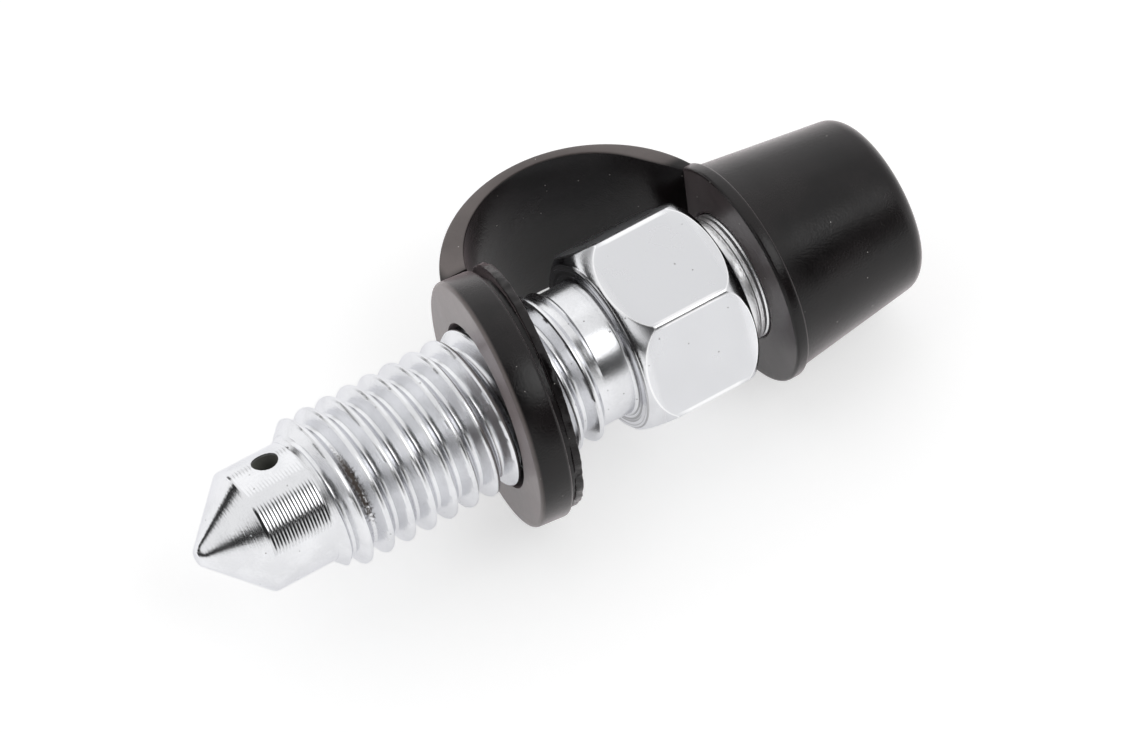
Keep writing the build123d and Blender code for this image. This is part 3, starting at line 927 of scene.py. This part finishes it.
def cupMesh():
    end, top, rounding = cap["cupEndRadius"], cap["cupTop"], cap["cupEndRound"]
    wallStart = cap["rimHeight"] + cap["rimThickness"]
    taper = math.atan((cap["cupRadius"] - end) / (top - wallStart))
    domeRadius = (end * end + cap["cupDome"] ** 2) / (2 * cap["cupDome"])
    domeMiddle = top + cap["cupDome"] - domeRadius

    # the rounding's middle stands inside both the wall and the dome by the same distance
    inside = math.cos(taper) * end + math.sin(taper) * top - rounding
    y = top
    for step in range(cap["fittingSteps"]):
        x = (inside - math.sin(taper) * y) / math.cos(taper)
        y = domeMiddle + math.sqrt((domeRadius - rounding) ** 2 - x * x)
    rounded = arc((x, y), rounding, math.degrees(taper), 90 - math.degrees(math.asin(x / (domeRadius - rounding))),
                  cap["roundSteps"])

    rim, rimRound = cap["rimRadius"] - cap["rimRound"], cap["rimRound"]
    outline = [(0, cap["rimHeight"]), (rim - cap["rimMargin"], cap["rimHeight"])]
    outline += arc((rim, cap["rimHeight"] + rimRound), rimRound, -90, 0, cap["edgeSteps"])
    outline += arc((rim, wallStart - rimRound), rimRound, 0, cap["rimRoundEnd"], cap["edgeSteps"])
    outline.append((cap["cupRadius"] + cap["cupFillet"][0], wallStart + cap["cupFillet"][1]))
    for step in range(1, cap["wallRows"]):
        share = step / cap["wallRows"]
        outline.append((cap["cupRadius"] + (rounded[0][0] - cap["cupRadius"]) * share,
                        wallStart + (rounded[0][1] - wallStart) * share))
    outline += rounded
    for step in range(1, cap["domeRows"]):
        radius = rounded[-1][0] * (1 - step / cap["domeRows"])
        outline.append((radius, domeMiddle + math.sqrt(domeRadius ** 2 - radius ** 2)))
    outline.append((0, top + cap["cupDome"]))
    return meshFrom("cup", *lathe(outline, evenTurns(cap["around"])))


def turnedTool(outline):
    return meshFrom("turnedTool", *lathe(outline, evenTurns(cap["around"])))


def capMesh():
    mesh = disc(cap["ringRadius"], cap["ringThickness"], cap["ringRound"])
    mesh.transform(leaned(cap["ringHeight"], cap["ringLean"]))
    grooveFloor = disc(cap["grooveRadius"], cap["lipHeight"] - cap["ringHeight"], cap["grooveRound"])
    grooveFloor.transform(leaned(cap["ringHeight"], cap["ringLean"]))
    lip = disc(cap["lipRadius"], cap["lipThickness"], cap["lipRound"], cap["flash"])
    lip.transform(leaned(cap["lipHeight"], cap["lipLean"]))
    for added in (grooveFloor, lip, cupMesh(), strapMesh()):
        mesh = carve(mesh, "UNION", added)
    hole, (low, high) = cap["ringHole"], cap["ringHoleRun"]
    mesh = carve(mesh, "DIFFERENCE", turnedTool([(0, low), (hole, low), (hole, high), (0, high)]))
    mouth, mouthBreak, rim = cap["mouthRadius"], cap["mouthBreak"], cap["rimHeight"]
    below = rim - cap["mouthRun"]
    cavity = turnedTool([
        (0, below), (mouth + mouthBreak, below), (mouth + mouthBreak, rim), (mouth, rim + mouthBreak),
        (mouth, cap["mouthFloor"]), (cap["cavityRadius"], cap["mouthFloor"]),
        (cap["cavityRadius"], cap["cavityTop"]), (0, cap["cavityTop"])])
    return carve(mesh, "DIFFERENCE", cavity)


rubberLook = rubberMaterial()
print("rubber made")
capShape = capMesh()
smoothByAngle(capShape, cap["smoothBelow"])
finishPiece("dustCap", capShape, capFrame, "cap", "dust_cap", rubberLook)

# Studio: a white table, a bright room with one darker band around it, and a soft lamp
studio = {
    "room": 0.93,                # brightness
    "bandPole": (-0.193, -0.573, -0.796),  # seen from the camera: right, down, away
    "bandCosine": 0.257,
    "bandHalf": 0.11,
    "bandEdge": 0.05,
    "dark": 0.02,
    "horizon": 0.03,
    "leftWay": (-103, 10),       # azimuth from the camera's own, elevation
    "leftCosines": (0.22, 0.42),
    "rightWay": (126, 27),
    "rightCosines": (0.89, 0.965),
    "lensWay": (180, 57.8),
    "lensCosines": (0.83, 0.91),
    "lampWay": (0.509, -0.270, -0.817),
    "lampDistance": 0.6,
    "lampSize": 0.36,
    "lampPower": 0.55,
    "backWay": (-8, 34),
    "backDistance": 0.8,
    "backSize": 0.80,
    "backPower": 0.3,
    "tableHalf": 2,              # metres
    "tableRoughness": 0.9,
    "table": 0.62,
    "tableGlow": 0.57,
}


def seenFromCamera(way):
    # camera axes with down and away positive, to the shared frame
    return cameraTurn() @ Vector((way[0], -way[1], -way[2]))


def levelled(azimuth, elevation):
    turn, rise = math.radians(camera["azimuth"] + azimuth), math.radians(elevation)
    return Vector((math.sin(turn) * math.cos(rise), math.cos(turn) * math.cos(rise), math.sin(rise)))


def setWorld():
    # a bright room, dark along its left horizon, in one place at the right and behind the lens
    world = bpy.data.worlds.new("room")
    bpy.context.scene.world = world
    world.use_nodes = True
    tree = world.node_tree
    way = addNode(tree, "ShaderNodeTexCoord").outputs["Generated"]
    height = addNode(tree, "ShaderNodeSeparateXYZ", {0: way}).outputs["Z"]

    def towards(pole):
        return addNode(tree, "ShaderNodeVectorMath", {0: way, 1: pole}, operation="DOT_PRODUCT").outputs["Value"]

    def spotAt(name):
        return scaled(tree, towards(levelled(*studio[name + "Way"])), *studio[name + "Cosines"], smooth=True)

    off = calc(tree, "ABSOLUTE", calc(tree, "SUBTRACT", towards(seenFromCamera(studio["bandPole"]).normalized()),
                                      studio["bandCosine"]))
    half, edge = studio["bandHalf"], studio["bandEdge"]
    band = times(tree, scaled(tree, off, half - edge, half + edge, 1.0, 0.0, smooth=True), spotAt("left"))
    shade = calc(tree, "MAXIMUM", calc(tree, "MAXIMUM", band, spotAt("right")), spotAt("lens"))
    shade = times(tree, shade, scaled(tree, height, 0.0, studio["horizon"], smooth=True))
    level = scaled(tree, shade, 0.0, 1.0, studio["room"], studio["dark"])
    tint = addNode(tree, "ShaderNodeCombineColor", {0: level, 1: level, 2: level})
    tree.links.new(tint.outputs[0], tree.nodes["Background"].inputs["Color"])


def setLamp(name, way, distance, size, power):
    data = bpy.data.lights.new(name, "AREA")
    data.shape = "DISK"
    data.size = size
    data.energy = power
    lamp = bpy.data.objects.new(name, data)
    lamp.matrix_world = Matrix.Translation(way * distance) @ way.to_track_quat("Z", "Y").to_matrix().to_4x4()
    bpy.context.scene.collection.objects.link(lamp)


def tableMaterial():
    made = bpy.data.materials.new("whiteTable")
    made.use_nodes = True
    tree = made.node_tree
    shader = tree.nodes["Principled BSDF"]
    shader.inputs["Base Color"].default_value = (studio["table"],) * 3 + (1,)
    shader.inputs["Roughness"].default_value = studio["tableRoughness"]
    path = addNode(tree, "ShaderNodeLightPath").outputs
    seen = calc(tree, "MAXIMUM", calc(tree, "MAXIMUM", path["Is Camera Ray"], path["Is Glossy Ray"]),
                path["Is Transmission Ray"])
    shader.inputs["Emission Color"].default_value = (1, 1, 1, 1)
    tree.links.new(times(tree, seen, studio["tableGlow"]), shader.inputs["Emission Strength"])
    return made


setWorld()
setLamp("softLamp", seenFromCamera(studio["lampWay"]).normalized(), studio["lampDistance"], studio["lampSize"],
        studio["lampPower"])
setLamp("backLamp", levelled(*studio["backWay"]), studio["backDistance"], studio["backSize"], studio["backPower"])
floor = makeObject("floor", bpy.data.meshes.new("floor"))
half = studio["tableHalf"]
floor.data.from_pydata([(-half, -half, 0), (half, -half, 0), (half, half, 0), (-half, half, 0)], [], [(0, 1, 2, 3)])
floor.data.materials.append(tableMaterial())
print("studio set")
